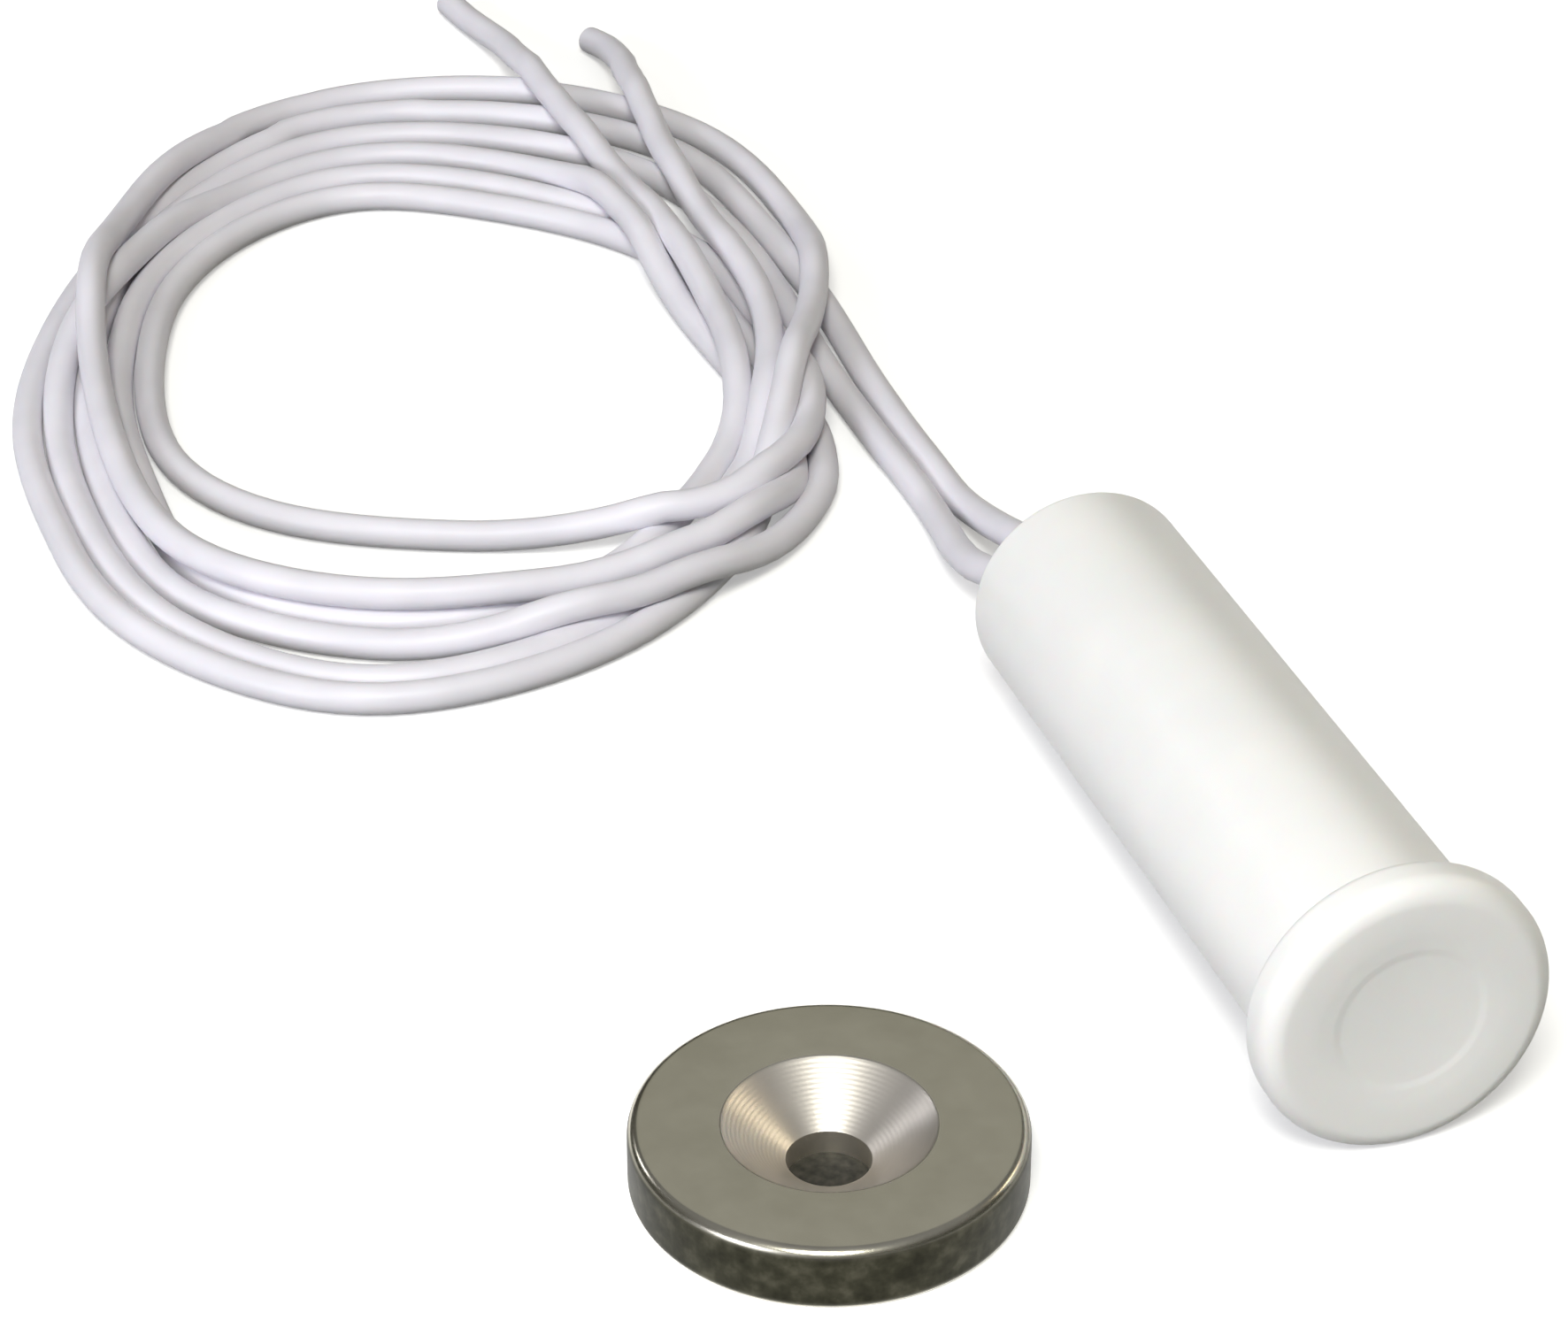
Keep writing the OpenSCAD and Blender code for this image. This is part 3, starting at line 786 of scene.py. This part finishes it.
class CONTACT_OT_magnet(bpy.types.Operator):
    """The plated disc magnet with its countersunk hole"""
    bl_idname = "contact.magnet"
    bl_label = "Magnet"

    def execute(self, context):
        settings = context.scene.contact_magnet
        radius = settings.diameter / 2
        top = settings.thickness
        hole_r = settings.hole_d / 2
        sink_r = settings.sink_d / 2
        edge = settings.rounding
        slope = math.degrees(math.atan2(settings.sink_depth, sink_r - hole_r))
        round_r = sink_r + SINK_ROUND * math.tan(math.radians(slope / 2))
        profile = [(hole_r, 0), (hole_r, top - settings.sink_depth)]
        profile += arc((round_r, top - SINK_ROUND), SINK_ROUND, 90 + slope, 90, steps=5)
        profile += arc((radius - edge, top - edge), edge, 90, 0, steps=10)
        profile += arc((radius - edge, edge), edge, 0, -90, steps=10)
        profile += [(hole_r, 0)]
        magnet = turned("countersunk_magnet", profile, steps=192)
        lay_down(magnet, Quaternion(), MAGNET_CENTRE)
        give(magnet, nickel_plate(settings.colour, radius, sink_r))
        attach(magnet, "root")
        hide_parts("magnet")
        return {"FINISHED"}


class CONTACT_OT_insides(bpy.types.Operator):
    """Finishes of what is sealed in the barrel"""
    bl_idname = "contact.insides"
    bl_label = "Sealed pieces"

    def execute(self, context):
        vinyl = bpy.data.materials["pvc_extruded_white"]
        # Epoxy, poured and cured: cream and glossy
        resin = plain_speckled("epoxy_poured", "DDD6C4", "E9E4D6",
                               spot=1.5 * MM, metallic=0.0, roughness=0.18)
        # Soda glass, fused at its ends: clear, with the green of reed capsules
        glass = plain_speckled("soda_glass_fused", "C9DDD0", "D6E6DB",
                               spot=3 * MM, metallic=0.0, roughness=0.04, ior=1.52, transmission=0.9)
        # Nickel-iron, drawn and flattened: grey and softly shiny
        blades = plain_speckled("nickel_iron_drawn", "A19F97", "B3B1A8",
                                spot=0.4 * MM, metallic=1.0, roughness=0.3)
        # Tin solder, frozen from the melt: bright, nearly white
        solder = plain_speckled("tin_solder", "BDBFC1", "CFD1D2",
                                spot=0.5 * MM, metallic=1.0, roughness=0.25)
        # Copper, drawn: reddish and clean, as it is kept from the air
        copper = plain_speckled("copper_drawn", "B06F42", "C6865A",
                                spot=0.3 * MM, metallic=1.0, roughness=0.3)
        wears = {"potting": resin, "reed_glass": glass, "front_reed": blades, "rear_reed": blades,
                 "front_splice": solder, "rear_splice": solder, "lead_a_core": copper,
                 "lead_b_core": copper, "lead_a_jacket": vinyl, "lead_b_jacket": vinyl}
        for node, material in wears.items():
            give(frame["nodes"][node], material)
        return {"FINISHED"}


class CONTACT_PT_panel(bpy.types.Panel):
    """Builds the contact piece by piece"""
    bl_idname = "CONTACT_PT_panel"
    bl_label = "Magnetic contact"
    bl_space_type = "VIEW_3D"
    bl_region_type = "UI"
    bl_category = "Contact"

    def draw(self, context):
        scene = context.scene
        for group in (scene.contact_housing, scene.contact_lead, scene.contact_magnet):
            box = self.layout.box()
            for key in group.__annotations__:
                box.prop(group, key)
        for step in BUILD_ORDER:
            self.layout.operator(step.bl_idname)


SETTINGS = {"contact_housing": HousingSettings, "contact_lead": LeadSettings,
            "contact_magnet": MagnetSettings}
BUILD_ORDER = (CONTACT_OT_stage, CONTACT_OT_leads, CONTACT_OT_housing, CONTACT_OT_magnet,
               CONTACT_OT_insides)
CLASSES = (*SETTINGS.values(), *BUILD_ORDER, CONTACT_PT_panel)


def register():
    for cls in CLASSES:
        bpy.utils.register_class(cls)
    for name, group in SETTINGS.items():
        setattr(bpy.types.Scene, name, bpy.props.PointerProperty(type=group))


def unregister():
    for name in SETTINGS:
        delattr(bpy.types.Scene, name)
    for cls in reversed(CLASSES):
        bpy.utils.unregister_class(cls)


def main():
    register()
    bpy.ops.contact.stage()
    bpy.ops.contact.leads()
    bpy.ops.contact.housing()
    bpy.ops.contact.magnet()
    bpy.ops.contact.insides()


if __name__ == "__main__":
    main()
